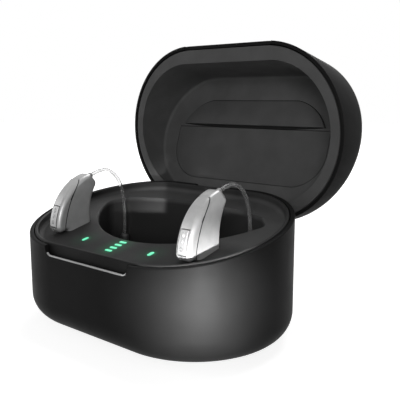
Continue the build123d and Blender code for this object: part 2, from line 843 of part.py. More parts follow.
with BuildPart() as lid_panel:
    with BuildSketch(lid_ceiling.offset(panel_recess)):
        add(panel_recess_sketch.sketch_local)
        offset(amount=-panel_gap)
    extrude(amount=-panel_thickness)
    fillet(edges_on(lid_panel, lid_ceiling.offset(panel_recess - panel_thickness)), panel_gap)
save(lid_panel.part, "lid_lower_panel")

with BuildPart() as hold_pad:
    with BuildSketch(lid_ceiling) as pad_outline:
        with BuildLine():
            Line((-hold_pad_half, hold_pad_back_y), (hold_pad_half, hold_pad_back_y))
            RadiusArc(
                (hold_pad_half, hold_pad_back_y),
                (hold_pad_straight_half, hold_pad_front_y),
                hold_pad_corner_radius,
            )
            Line(
                (hold_pad_straight_half, hold_pad_front_y),
                (-hold_pad_straight_half, hold_pad_front_y),
            )
            RadiusArc(
                (-hold_pad_straight_half, hold_pad_front_y),
                (-hold_pad_half, hold_pad_back_y),
                hold_pad_corner_radius,
            )
        make_face()
        fillet(pad_outline.vertices().sort_by(Axis.X)[0], hold_pad_tip_radius)
        fillet(pad_outline.vertices().sort_by(Axis.X)[-1], hold_pad_tip_radius)
    extrude(amount=-hold_pad_thickness)
save(hold_pad.part, "lid_hold_pad")

# Hinge arm: a barrel on the pin, a web flush in the back of the lid and a tongue behind it
with BuildPart() as hinge_arm:
    with BuildSketch(opened(Plane.YZ.offset(-arm_half))):
        with Locations((hinge_y, hinge_z)):
            Circle(barrel_radius)
        with Locations((back - flush_gap, hinge_z)):
            Rectangle(arm_web, arm_web_top - hinge_z, align=(Align.MAX, Align.MIN))
        with Locations((hinge_y, hinge_z)):
            Circle(hinge_pin_radius + hinge_running_gap, mode=Mode.SUBTRACT)
    extrude(amount=2 * arm_half)
    with BuildSketch(opened(Plane.YZ.offset(-tongue_half))):
        with Locations((back - flush_gap - arm_web, tongue_bottom)):
            Rectangle(
                tongue_thickness, tongue_top - tongue_bottom, align=(Align.MAX, Align.MIN)
            )
    extrude(amount=2 * tongue_half)
    with BuildSketch(opened(lid_back_plane)):
        with Locations(*arm_screw_places):
            Circle(small_screw_radius + close_gap)
    extrude(amount=2 * (arm_web + tongue_thickness), mode=Mode.SUBTRACT)
save(hinge_arm.part, "lid_hinge_arm")

tongue_face = opened(Plane.XZ.offset(-back + flush_gap + arm_web + tongue_thickness))
with BuildPart() as arm_screws:
    with BuildSketch(tongue_face):
        with Locations(*arm_screw_places):
            Circle(small_head_radius)
    extrude(amount=small_head_height)
    with BuildSketch(tongue_face):
        with Locations(*arm_screw_places):
            Circle(small_screw_radius - close_gap)
    extrude(amount=-(tongue_thickness + arm_screw_bite + close_gap))
save(arm_screws.part, "hinge_arm_screws")

band_back = rim_plane.offset(liner_lift + band_thickness)
lid_magnet_row = (lid_magnet_y - band_back.origin.Y) / cos(radians(rim_tilt))
with BuildPart() as lid_magnets:
    with BuildSketch(opened(band_back)):
        with Locations(*mirrored_x(magnet_x, lid_magnet_row)):
            Circle(magnet_radius)
    extrude(amount=magnet_thickness)
save(lid_magnets.part, "lid_magnets")

# Hearing aids. Each side profile is drawn in a plane through the aid's middle, and its points
# are measured back and up from the middle of the foot's lower face
tip_back = (8.75, 24.6)
tip_front = (5.65, 28.1)
spine_middle = (-5.95, 20.8)
spine_foot = (-9.65, 7.9)
spine_foot_rise = 1.1       # its lower end slopes with the deck
concave_middle = (5.9, 19.0)
foot_shoulder = 13.0
seam_top = (3.5, 29.2)
seam_middle = (-3.65, 19.8)
seam_bottom = (-6.65, 10.5)
seam_foot = (-6.65, 7.0)
seam_reach = 6.0            # the seam's cut runs this far below the foot
hollow_points = [
    (-foot_half_depth + aid_wall, aid_wall + charge_pad_thickness),
    (foot_half_depth - aid_wall, aid_wall + charge_pad_thickness),
    (foot_half_depth - aid_wall, 13.5),
    (5.9, 21.0),
    (3.7, 23.4),
    (-1.9, 19.6),
    (-4.0, 14.2),
]
cell_half_depth = 3.6
plug_end_offset = (-0.9, 2.6)
circuit_points = [(2.4, 14.2), (3.5, 14.2), (5.2, 21.1), (4.2, 22.2)]


def circle_centre(a, b, c):
    """Centre of the circle through three points."""
    line_ab = Axis(((a[0] + b[0]) / 2, (a[1] + b[1]) / 2, 0), (b[1] - a[1], a[0] - b[0], 0))
    line_bc = Axis(((b[0] + c[0]) / 2, (b[1] + c[1]) / 2, 0), (c[1] - b[1], b[0] - c[0], 0))
    return line_ab.intersect(line_bc)


# The rocker button lies on the circle of the spine
spine_centre = circle_centre(tip_front, spine_middle, spine_foot)
spine_radius = (Vector(*spine_foot, 0) - spine_centre).length
rocker_start = 180 - degrees(asin((rocker_high - spine_centre.Y) / spine_radius))
rocker_end = 180 - degrees(asin((rocker_low - spine_centre.Y) / spine_radius))
rocker_slack = degrees(rocker_gap / spine_radius)
rocker_pivot = spine_centre + Vector(spine_radius - rocker_thickness, 0, 0).rotate(
    Axis.Z, (rocker_start + rocker_end) / 2
)
print("rocker pivot", round(aid_y + rocker_pivot.X, 4), round(foot_bottom + rocker_pivot.Y, 4))
plug_end = Vector(*tip_back, 0) + Vector(*plug_end_offset, 0)
plug_start = plug_end - Vector(wire_plug_length, 0, 0).rotate(Axis.Z, wire_plug_angle)

# Points of a receiver wire: back and up from the middle of the case, at the aid's own x
wire_points = [
    (0.4, 50.8),
    (4.2, 51.2),
    (7.9, 49.6),
    (10.8, 46.4),
    (12.6, 41.8),
    (13.3, 36.3),
    (13.4, 28.6),
    (13.1, 24.8),
]
receiver_top = wire_points[-1][1] - receiver_seat_gap
dome_bottom = well_floor + dome_floor_gap
receiver_bottom = receiver_top - receiver_length
dome_shoulder = receiver_bottom - dome_wall
dome_neck = receiver_bottom - dome_neck_length


def side_plane(x):
    """A plane through an aid's middle, with the case's Y and Z as its own axes."""
    return Plane(origin=(x, aid_y, foot_bottom), x_dir=(0, 1, 0), z_dir=(1, 0, 0))


for side, x in (("left", -aid_x), ("right", aid_x)):
    plane = side_plane(x)
    edge_plane = plane.offset(-aid_width / 2)
    with BuildPart() as aid_blank:
        with BuildSketch(edge_plane) as aid_profile:
            with BuildLine():
                Polyline(
                    spine_foot,
                    (-foot_half_depth, spine_foot[1] + spine_foot_rise),
                    (-foot_half_depth, 0),
                    (foot_half_depth, 0),
                    (foot_half_depth, foot_shoulder),
                )
                ThreePointArc((foot_half_depth, foot_shoulder), concave_middle, tip_back)
                Line(tip_back, tip_front)
                ThreePointArc(tip_front, spine_middle, spine_foot)
            make_face()
            corners = aid_profile.vertices().sort_by(Axis.Y)
            fillet(corners[0:2] + corners[-2:], aid_corner)
            inner_corner = aid_profile.vertices().sort_by_distance((-foot_half_depth, spine_foot[1]))
            fillet(inner_corner[0], aid_inner_corner)
            outer_corner = aid_profile.vertices().sort_by_distance(spine_foot)
            fillet(outer_corner[0], aid_corner)
        extrude(amount=aid_width)
        fillet(edges_on(aid_blank, edge_plane), aid_rounding)
        fillet(edges_on(aid_blank, edge_plane.offset(aid_width)), aid_rounding)

    # A slot for a microphone screen on the seam, in each side of the aid
    screen_base = aid_width / 2 - microphone_depth
    with BuildPart() as microphone_slots:
        for face, outward in ((plane.offset(screen_base), 1), (plane.offset(-screen_base), -1)):
            with BuildSketch(face):
                with Locations(microphone_middle):
                    SlotOverall(microphone_length, microphone_width, rotation=microphone_angle)
            extrude(amount=outward * aid_width / 2)
    with BuildPart() as microphone_screens:
        for face, outward in ((plane.offset(screen_base), 1), (plane.offset(-screen_base), -1)):
            with BuildSketch(face):
                with Locations(microphone_middle):
                    SlotOverall(
                        microphone_length - 2 * close_gap,
                        microphone_width - 2 * close_gap,
                        rotation=microphone_angle,
                    )
            extrude(amount=outward * microphone_screen)
    save(microphone_screens.part, f"{side}_aid_microphone_screens")

    # The seam is a curved cut with the housing on one side and the spine cover on the other
    seam_start = edge_plane.offset(-spine_gap)
    seam_width = aid_width + 2 * spine_gap
    with BuildPart() as spine_cover:
        add(aid_blank.part)
        with BuildSketch(seam_start):
            with BuildLine():
                ThreePointArc(seam_top, seam_middle, seam_bottom)
                Polyline(
                    seam_bottom,
                    seam_foot,
                    (seam_foot[0], -seam_reach),
                    (tall, -seam_reach),
                    (tall, seam_top[1]),
                    seam_top,
                )
            make_face()
        extrude(amount=seam_width, mode=Mode.SUBTRACT)
        # Slot for the rocker button
        with BuildSketch(plane.offset(-rocker_width / 2 - rocker_gap)):
            with BuildLine():
                outer = CenterArc(
                    spine_centre,
                    spine_radius + 2 * rocker_proud,
                    rocker_start - rocker_slack,
                    rocker_end - rocker_start + 2 * rocker_slack,
                )
                inner = CenterArc(
                    spine_centre,
                    spine_radius - rocker_thickness - rocker_gap,
                    rocker_start - rocker_slack,
                    rocker_end - rocker_start + 2 * rocker_slack,
                )
                Line(outer @ 0, inner @ 0)
                Line(outer @ 1, inner @ 1)
            make_face()
            with Locations((rocker_pivot.X, rocker_pivot.Y)):
                Circle(rocker_pin_radius + hinge_running_gap)
        extrude(amount=rocker_width + 2 * rocker_gap, mode=Mode.SUBTRACT)
        add(microphone_slots.part, mode=Mode.SUBTRACT)
    save(spine_cover.part, f"{side}_aid_spine_cover")

    with BuildPart() as housing:
        add(aid_blank.part)
        with BuildSketch(seam_start):
            with BuildLine():
                ThreePointArc(seam_top, seam_middle, seam_bottom)
                Polyline(
                    seam_bottom,
                    seam_foot,
                    (-tall, seam_foot[1]),
                    (-tall, seam_top[1]),
                    seam_top,
                )
            make_face()
            offset(amount=spine_gap)
        extrude(amount=seam_width, mode=Mode.SUBTRACT)
        with BuildSketch(edge_plane.offset(aid_wall)):
            with BuildLine():
                Polyline(*hollow_points, close=True)
            make_face()
        extrude(amount=aid_width - 2 * aid_wall, mode=Mode.SUBTRACT)
        add(microphone_slots.part, mode=Mode.SUBTRACT)
        # Bore for the wire plug, and seats for the charge pads
        plug_plane = Plane(
            origin=plane.from_local_coords(plug_start),
            z_dir=plane.from_local_coords(plug_end) - plane.from_local_coords(plug_start),
        )
        with BuildSketch(plug_plane):
            Circle(wire_plug_radius + close_gap)
        extrude(amount=2 * wire_plug_length, mode=Mode.SUBTRACT)
        with BuildSketch(Plane.XY.offset(foot_bottom)):
            with Locations(*[(x, y) for y in contact_places]):
                Circle(charge_pad_radius + close_gap)
        extrude(amount=charge_pad_thickness, mode=Mode.SUBTRACT)
    save(housing.part, f"{side}_aid_housing")

    with BuildPart() as rocker:
        with BuildSketch(plane.offset(-rocker_width / 2)):
            with BuildLine():
                sweep_angle = rocker_end - rocker_start
                outer = CenterArc(
                    spine_centre, spine_radius + rocker_proud, rocker_start, sweep_angle
                )
                inner = CenterArc(
                    spine_centre, spine_radius - rocker_thickness, rocker_start, sweep_angle
                )
                Line(outer @ 0, inner @ 0)
                Line(outer @ 1, inner @ 1)
            make_face()
            with Locations((rocker_pivot.X, rocker_pivot.Y)):
                Circle(rocker_pin_radius)
        extrude(amount=rocker_width)
        outer_face = rocker.faces().filter_by(GeomType.CYLINDER).sort_by(Axis.Y)[0]
        fillet(outer_face.edges(), rocker_proud)
    save(rocker.part, f"{side}_aid_rocker")

    with BuildPart() as charge_pads:
        with BuildSketch(Plane.XY.offset(foot_bottom)):
            with Locations(*[(x, y) for y in contact_places]):
                Circle(charge_pad_radius)
        extrude(amount=charge_pad_thickness)
    save(charge_pads.part, f"{side}_aid_charge_pads")

    with BuildPart() as cell:
        with BuildSketch(Plane.XY.offset(foot_bottom + hollow_points[0][1] + flush_gap)):
            with Locations((x, aid_y)):
                RectangleRounded(
                    aid_width - 2 * (aid_wall + flush_gap), 2 * cell_half_depth, aid_wall
                )
        extrude(amount=cell_height)
    save(cell.part, f"{side}_aid_battery")

    with BuildPart() as circuit:
        with BuildSketch(plane.offset(-circuit_width / 2)):
            with BuildLine():
                Polyline(*circuit_points, close=True)
            make_face()
        extrude(amount=circuit_width)
    save(circuit.part, f"{side}_aid_circuit")

    with BuildPart() as wire_plug:
        with BuildSketch(plug_plane):
            Circle(wire_plug_radius)
        extrude(amount=wire_plug_length)
    save(wire_plug.part, f"{side}_aid_wire_plug")

    # Receiver wire: straight runs joined by arcs as large as the runs allow
    route = [plane.from_local_coords(plug_end)] + [Vector(x, y, z) for y, z in wire_points]
    runs = [b - a for a, b in zip(route, route[1:])]
    radii = [
        wire_arc_share * min(a.length, b.length) / tan(radians(a.get_angle(b)) / 2)
        for a, b in zip(runs, runs[1:])
    ]
    print(side, "wire radii", [round(r, 1) for r in radii])
    with BuildPart() as receiver_wire:
        with BuildLine() as wire_path:
            FilletPolyline(*route, radius=radii)
        with BuildSketch(Plane(origin=wire_path.line @ 0, z_dir=wire_path.line % 0)):
            Circle(wire_diameter / 2)
        sweep()
    wire_length = sum(edge.length for edge in wire_path.line.edges())
    wire_volume = wire_length * pi * wire_diameter**2 / 4
    print(side, "wire length", round(wire_length, 2))
    print("  volume", round(receiver_wire.part.volume, 3), "by its section", round(wire_volume, 3))
    save(receiver_wire.part, f"{side}_receiver_wire")

    with BuildPart() as receiver:
        with BuildSketch(Plane.XY.offset(receiver_bottom)):
            with Locations((x, wire_points[-1][0])):
                Circle(receiver_radius)
        extrude(amount=receiver_length)
        fillet(receiver.edges().group_by(Axis.Z)[-1], receiver_radius / 2)
    save(receiver.part, f"{side}_receiver")

    with BuildPart() as dome:
        with BuildSketch(Plane(origin=(x, wire_points[-1][0], 0), x_dir=(1, 0, 0), z_dir=(0, -1, 0))):
            with BuildLine():
                Line((0, receiver_bottom), (receiver_radius, receiver_bottom))
                Line((receiver_radius, receiver_bottom), (receiver_radius, dome_shoulder))
                ThreePointArc(
                    (receiver_radius, dome_shoulder),
                    (dome_bulge_radius, dome_shoulder - dome_bulge_drop),
                    (dome_radius, dome_bottom),
                )
                Line((dome_radius, dome_bottom), (dome_radius - dome_wall, dome_bottom))
                ThreePointArc(
                    (dome_radius - dome_wall, dome_bottom),
                    (dome_bulge_radius - dome_wall, dome_shoulder - dome_bulge_drop - dome_wall / 2),
                    (receiver_radius, dome_shoulder - dome_wall),
                )
                Line((receiver_radius, dome_shoulder - dome_wall), (receiver_radius, dome_neck))
                Line((receiver_radius, dome_neck), (0, dome_neck))
                Line((0, dome_neck), (0, receiver_bottom))
            make_face()
        revolve(axis=Axis((x, wire_points[-1][0], 0), (0, 0, 1)))
    save(dome.part, f"{side}_ear_dome")

print(len(nodes), "nodes")
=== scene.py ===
"""Looks of the hearing aid charger, in metres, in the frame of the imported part.

X runs along the case, the front faces -Y and +Z is up. The lid stands open.
"""

import json
from math import asin, atan2, cos, degrees, hypot, pi, radians, sin, sqrt

import bpy
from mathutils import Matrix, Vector


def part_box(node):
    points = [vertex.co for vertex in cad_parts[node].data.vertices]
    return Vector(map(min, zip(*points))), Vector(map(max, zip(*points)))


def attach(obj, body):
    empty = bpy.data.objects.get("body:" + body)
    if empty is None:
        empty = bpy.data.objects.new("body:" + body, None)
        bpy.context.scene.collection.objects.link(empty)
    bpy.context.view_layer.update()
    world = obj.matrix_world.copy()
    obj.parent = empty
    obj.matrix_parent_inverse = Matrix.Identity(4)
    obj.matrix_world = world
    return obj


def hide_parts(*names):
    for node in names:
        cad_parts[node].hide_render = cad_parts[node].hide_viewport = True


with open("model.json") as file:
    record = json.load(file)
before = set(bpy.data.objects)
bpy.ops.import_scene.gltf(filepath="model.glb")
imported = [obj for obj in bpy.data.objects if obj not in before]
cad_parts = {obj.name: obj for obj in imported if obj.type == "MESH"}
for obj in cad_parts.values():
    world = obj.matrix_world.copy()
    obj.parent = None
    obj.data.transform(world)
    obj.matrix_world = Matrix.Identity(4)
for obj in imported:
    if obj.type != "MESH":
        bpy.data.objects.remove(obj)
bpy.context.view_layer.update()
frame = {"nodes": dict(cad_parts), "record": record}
nodes = frame["nodes"]
MM = 0.001
WHITE = (1, 1, 1, 1)


def mm(*values):
    """A point given in millimetres."""
    return Vector(values) * MM


def add(name, data):
    """A new object in the scene."""
    obj = bpy.data.objects.new(name, data)
    bpy.context.scene.collection.objects.link(obj)
    return obj


def toward(azimuth, elevation):
    """The direction out from the object, in degrees round from its front and up."""
    a, e = radians(azimuth), radians(elevation)
    return Vector((sin(a) * cos(e), -cos(a) * cos(e), sin(e)))


def face(obj, direction):
    """Turns a camera or a light to look along a direction."""
    obj.rotation_mode = "QUATERNION"
    obj.rotation_quaternion = direction.to_track_quat("-Z", "Y")


# Camera at the photograph's viewing angle
picture_pixels = 400
focal_pixels = 608.2
sensor_mm = 36.0
camera_azimuth, camera_elevation = 40.276, 9.51
camera_target = mm(19.944, 0, 45.336)
camera_distance = 195.388 * MM

camera_back = toward(camera_azimuth, camera_elevation)
camera = add("camera", bpy.data.cameras.new("camera"))
camera.data.sensor_width = sensor_mm
camera.data.lens = focal_pixels / picture_pixels * sensor_mm
camera.data.clip_start = 0.01
camera.location = camera_target + camera_back * camera_distance
face(camera, -camera_back)
bpy.context.scene.camera = camera

# Places shared with the construction, in millimetres
aid_x = 30.3
aid_y = -10.8
foot_bottom = 22.5
SIDES = (("left", -aid_x), ("right", aid_x))


# Receiver wires: the route's points, back and up from the middle of the case
wire_diameter = 1.3
wire_points = [
    (-2.95, 49.7),
    (0.4, 50.8),
    (4.2, 51.2),
    (7.9, 49.6),
    (10.8, 46.4),
    (12.6, 41.8),
    (13.3, 36.3),
    (13.4, 28.6),
    (13.1, 24.8),
]


def tube(name, points, radius, order=3):
    """A round tube along points in millimetres."""
    data = bpy.data.curves.new(name, "CURVE")
    data.dimensions = "3D"
    spline = data.splines.new("NURBS")
    spline.points.add(len(points) - 1)
    # Each point's radius multiplies the bevel's depth of 1, so it is the tube's own in metres
    for point, place in zip(spline.points, points):
        point.co = (*mm(*place), 1)
        point.radius = radius * MM
    data.bevel_depth = 1.0
    data.bevel_resolution = 6
    data.use_fill_caps = True
    spline.order_u = order
    spline.use_endpoint_u = True
    spline.resolution_u = 12
    return add(name, data)


def wire_route(x):
    return [(x, y, z) for y, z in wire_points]


wires = {side: tube(f"{side}_wire", wire_route(x), wire_diameter / 2) for side, x in SIDES}
for side, x in SIDES:
    wire = wires[side]
    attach(wire, f"{side}_aid")
    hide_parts(f"{side}_receiver_wire")


# Materials
class Shader:
    """A node material with a Principled shader and helpers that add nodes to it."""

    def __init__(self, name, **sockets):
        self.material = bpy.data.materials.new(name)
        self.material.use_nodes = True
        self.tree = self.material.node_tree
        self.shader = self.tree.nodes["Principled BSDF"]
        for socket, value in sockets.items():
            self.shader.inputs[socket.replace("_", " ")].default_value = value
        self.place = self.tree.nodes.new("ShaderNodeTexCoord").outputs["Object"]

    def link(self, source, target):
        self.tree.links.new(source, target)

    def into(self, socket, source):
        self.link(source, self.shader.inputs[socket])

    def noise(self, size_mm, detail=3.0, roughness=0.5, stretch=None):
        """Noise whose features are about size_mm across."""
        node = self.tree.nodes.new("ShaderNodeTexNoise")
        node.inputs["Scale"].default_value = 1 / (size_mm * MM)
        node.inputs["Detail"].default_value = detail
        node.inputs["Roughness"].default_value = roughness
        source = self.place
        if stretch:
            mapping = self.tree.nodes.new("ShaderNodeMapping")
            mapping.inputs["Scale"].default_value = stretch
            self.link(self.place, mapping.inputs["Vector"])
            source = mapping.outputs["Vector"]
        self.link(source, node.inputs["Vector"])
        return node.outputs["Fac"]

    def ramp(self, source, low, high, stops=(0.35, 0.65)):
        """A colour ramp from low to high between two stops."""
        node = self.tree.nodes.new("ShaderNodeValToRGB")
        for element, place, colour in zip(node.color_ramp.elements, stops, (low, high)):
            element.position = place
            element.color = colour
        self.link(source, node.inputs["Fac"])
        return node.outputs["Color"]

    def spread(self, source, low, high, start=0.35, end=0.65):
        """The source's range from start to end, mapped to low..high and held at its ends."""
        node = self.tree.nodes.new("ShaderNodeMapRange")
        for socket, value in (
            ("From Min", start),
            ("From Max", end),
            ("To Min", low),
            ("To Max", high),
        ):
            node.inputs[socket].default_value = value
        self.link(source, node.inputs["Value"])
        return node.outputs["Result"]

    def maths(self, operation, a, b):
        """Two values, each a number or a socket, put together by an operation."""
        node = self.tree.nodes.new("ShaderNodeMath")
        node.operation = operation
        for socket, value in zip(node.inputs, (a, b)):
            if isinstance(value, (int, float)):
                socket.default_value = value
            else:
                self.link(value, socket)
        return node.outputs["Value"]

    def bump(self, height, depth_mm):
        node = self.tree.nodes.new("ShaderNodeBump")
        node.inputs["Distance"].default_value = depth_mm * MM
        node.inputs["Strength"].default_value = 1.0
        self.link(height, node.inputs["Height"])
        self.into("Normal", node.outputs["Normal"])

    def along(self, axis, start_mm, end_mm):
        """A value that runs from 0 to 1 between two places along X, Y or Z."""
        node = self.tree.nodes.new("ShaderNodeSeparateXYZ")
        self.link(self.place, node.inputs["Vector"])
        return self.spread(node.outputs[axis], 0, 1, start_mm * MM, end_mm * MM)

    def mix(self, share, first, second):
        """Two colours, each a value or a socket, mixed by a share."""
        node = self.tree.nodes.new("ShaderNodeMix")
        node.data_type = "RGBA"
        self.link(share, node.inputs["Factor"])
        for socket, value in zip(node.inputs[6:8], (first, second)):
            if hasattr(value, "__len__"):
                socket.default_value = value
            else:
                self.link(value, socket)
        return node.outputs[2]

    def near(self, point, reach_mm, core_mm=0.0):
        """1 at a point and in a core round it, falling to 0 at a distance from it."""
        node = self.tree.nodes.new("ShaderNodeVectorMath")
        node.operation = "DISTANCE"
        self.link(self.place, node.inputs[0])
        node.inputs[1].default_value = point
        fall = self.tree.nodes.new("ShaderNodeMapRange")
        fall.interpolation_type = "SMOOTHERSTEP"
        fall.inputs["From Min"].default_value = reach_mm * MM
        fall.inputs["From Max"].default_value = core_mm * MM
        self.link(node.outputs["Value"], fall.inputs["Value"])
        return fall.outputs["Result"]


def grey(level):
    """A linear grey from an sRGB level of 0 to 255."""
    value = (level / 255 + 0.055) / 1.055
    value = value**2.4 if level > 10.3 else level / 255 / 12.92
    return (value, value, value, 1)


def moulded(name, level, roughness, specular, grain_mm=0.16, grain_depth=0.006, spread=0.04):
    """Moulded plastic with a fine spark-eroded grain and a faint unevenness."""
    shader = Shader(name, Specular_IOR_Level=specular)
    cloud = shader.noise(9.0, 4.0)
    shader.into(
        "Base Color", shader.ramp(cloud, grey(level * (1 - spread)), grey(level * (1 + spread)))
    )
    grain = shader.noise(grain_mm, 2.0, 0.6)
    shader.into(
        "Roughness",
        shader.maths(
            "ADD",
            shader.spread(shader.noise(14.0, 5.0, 0.6), roughness - 0.04, roughness + 0.04),
            shader.spread(grain, -0.03, 0.03),
        ),
    )
    shader.bump(grain, grain_depth)
    return shader


case_plastic = moulded("case_plastic", 22, 0.5, 0.03)
tray_plastic = moulded("tray_plastic", 64, 0.6, 0.08, grain_mm=0.2, grain_depth=0.008)
liner_plastic = moulded("liner_plastic", 78, 0.6, 0.08, grain_mm=0.2, grain_depth=0.008)
panel_plastic = moulded("panel_plastic", 74, 0.6, 0.08, grain_mm=0.12, grain_depth=0.005)
rubber = moulded("rubber", 20, 0.8, 0.1, grain_mm=0.4, grain_depth=0.02)
# The notch edge's pale grey is a painted highlight on the dark case, over a real polished finish
polish_and_painted_highlight = moulded("polished_edge_painted_highlight", 150, 0.22, 0.6, grain_mm=0.1, grain_depth=0.001)

# Painted shade: the tray is darker low down, on its raised rim, and on the face that shows in the
# front notch.
# Its level is its height, less the deck's rise behind the middle of the case, in millimetres.
deck_slope = 0.2309
level_span = 100
low_shade_fade, rim_shade_fade, notch_shade_fade = (32.8, 34.0), (35.2, 36.2), (-30.0, -29.8)
tray_painted_shade, notch_painted_shade = grey(40), grey(17)
tray_level = tray_plastic.maths(
    "SUBTRACT",
    tray_plastic.along("Z", 0, level_span),
    tray_plastic.maths("MULTIPLY", tray_plastic.along("Y", 0, level_span), deck_slope),
)


def level_rise(start, end):
    """A value that runs from 0 to 1 between two levels of the tray."""
    return tray_plastic.spread(tray_level, 0, 1, start / level_span, end / level_span)


tray_base = tray_plastic.shader.inputs["Base Color"].links[0].from_socket
# Painted shade is mixed into the tray's own colour here: low down, on the rim, then in the notch
tray_base = tray_plastic.mix(level_rise(*low_shade_fade), tray_painted_shade, tray_base)
tray_base = tray_plastic.mix(level_rise(*rim_shade_fade), tray_base, tray_painted_shade)
tray_base = tray_plastic.mix(tray_plastic.along("Y", *notch_shade_fade), notch_painted_shade, tray_base)
tray_plastic.into("Base Color", tray_base)

# Painted glow: the deck itself emits green light round its windows, as a bright halo and a wide
# faint haze
halo_reach, halo_core, halo_strength = 2.6, 0.4, 0.09
haze_reach, haze_strength = 8.0, 0.014
glow_colour = (0.05, 0.9, 0.38, 1)
window_colour = (0.15, 0.86, 0.50, 1)
light_names = ["left_status_light", "right_status_light"]
light_names += [f"battery_light_{number}" for number in range(1, 5)]


def node_top(name):
    """Middle of a light window's top, which is a little higher than its own middle."""
    low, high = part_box(name)
    return Vector(((low.x + high.x) / 2, (low.y + high.y) / 2, high.z))


def window_glow(name):
    """How strongly the painted glow shows on the deck round one window."""
    halo = tray_plastic.near(node_top(name), halo_reach, halo_core)
    haze = tray_plastic.near(node_top(name), haze_reach)
    return tray_plastic.maths(
        "ADD",
        tray_plastic.maths("MULTIPLY", halo, halo_strength),
        tray_plastic.maths("MULTIPLY", haze, haze_strength),
    )


glow = window_glow(light_names[0])
for name in light_names[1:]:
    glow = tray_plastic.maths("ADD", glow, window_glow(name))
tray_plastic.shader.inputs["Emission Color"].default_value = glow_colour
tray_plastic.into("Emission Strength", glow)

window = Shader("light_window", Roughness=0.4, Emission_Color=window_colour)
window_noise = window.noise(0.8, 2.0)
window.into("Base Color", window.ramp(window_noise, (0.02, 0.14, 0.08, 1), (0.04, 0.2, 0.12, 1)))
window.into("Emission Strength", window.spread(window_noise, 0.85, 1.0))


def satin_metal(name, level, roughness=0.34, metallic=0.35):
    """Satin silver paint with a fine metal flake."""
    shader = Shader(name, Metallic=metallic, Specular_IOR_Level=0.5)
    flake = shader.noise(0.09, 2.0, 0.7)
    cloud = shader.noise(3.0, 3.0)
    mixed = shader.maths("ADD", shader.spread(flake, 0.0, 0.6), shader.spread(cloud, 0.0, 0.4))
    shader.into("Base Color", shader.ramp(mixed, grey(level - 7), grey(level + 7), (0.1, 0.9)))
    shader.into("Roughness", shader.spread(flake, roughness - 0.05, roughness + 0.05))
    shader.bump(flake, 0.002)
    return shader


aid_silver = satin_metal("aid_silver", 172)
aid_silver_light = satin_metal("aid_silver_light", 168)
aid_grey = satin_metal("aid_grey", 128)
aid_dark = moulded("aid_dark", 60, 0.45, 0.4, grain_mm=0.1, grain_depth=0.003)

steel = Shader("steel", Metallic=1.0)
steel_streak = steel.noise(0.25, 4.0, 0.6, stretch=(1, 6, 1))
steel.into("Base Color", steel.ramp(steel_streak, grey(175), grey(205)))
steel.into("Roughness", steel.spread(steel_streak, 0.25, 0.4))

gold = Shader("gold_contact", Metallic=1.0)
gold_noise = gold.noise(0.3, 3.0)
gold.into("Base Color", gold.ramp(gold_noise, (0.72, 0.45, 0.14, 1), (0.83, 0.58, 0.24, 1)))
gold.into("Roughness", gold.spread(gold_noise, 0.2, 0.35))

board = Shader("circuit_board", Specular_IOR_Level=0.5)
board_noise = board.noise(1.2, 2.0)
board.into("Base Color", board.ramp(board_noise, (0.01, 0.07, 0.03, 1), (0.02, 0.12, 0.05, 1)))
board.into("Roughness", board.spread(board_noise, 0.3, 0.45))

lamp = Shader("lamp", Roughness=0.3)
lamp.into("Base Color", lamp.ramp(lamp.noise(0.4), grey(215), grey(240)))

cell_wrap = Shader("battery_wrap", Specular_IOR_Level=0.5)
wrap_noise = cell_wrap.noise(2.0, 4.0)
cell_wrap.into("Base Color", cell_wrap.ramp(wrap_noise, (0.12, 0.16, 0.2, 1), (0.17, 0.22, 0.27, 1)))
cell_wrap.into("Roughness", cell_wrap.spread(wrap_noise, 0.3, 0.5))
cell_wrap.bump(wrap_noise, 0.05)

clear = Shader("clear_wire", Transmission_Weight=0.92, IOR=1.2)
clear_noise = clear.noise(1.5, 3.0)
clear.into("Base Color", clear.ramp(clear_noise, grey(212), grey(230)))
clear.into("Roughness", clear.spread(clear_noise, 0.03, 0.08))

plug_grey = moulded("plug_grey", 140, 0.4, 0.4, grain_mm=0.3, grain_depth=0.002)
seam_dark = moulded("seam_shadow", 46, 0.7, 0.1, grain_mm=0.3, grain_depth=0.002)

silicone = Shader("silicone", Transmission_Weight=0.45, IOR=1.41, Subsurface_Weight=0.2)
silicone_noise = silicone.noise(1.0, 3.0)
silicone.into("Base Color", silicone.ramp(silicone_noise, grey(200), grey(220)))
silicone.into("Roughness", silicone.spread(silicone_noise, 0.35, 0.5))

FINISHES = {
    "case_plastic": case_plastic,
    "tray_plastic": tray_plastic,
    "liner_plastic": liner_plastic,
    "rubber": rubber,
    "steel": steel,
    "gold_contact": gold,
    "circuit_board": board,
    "lamp": lamp,
    "light_window": window,
    "battery_wrap": cell_wrap,
    "aid_silver": aid_silver,
    "aid_silver_light": aid_silver_light,
    "aid_dark": aid_dark,
    "clear_wire": clear,
    "silicone": silicone,
}


def paint(obj, shader):
    obj.data.materials.clear()
    obj.data.materials.append(shader.material)


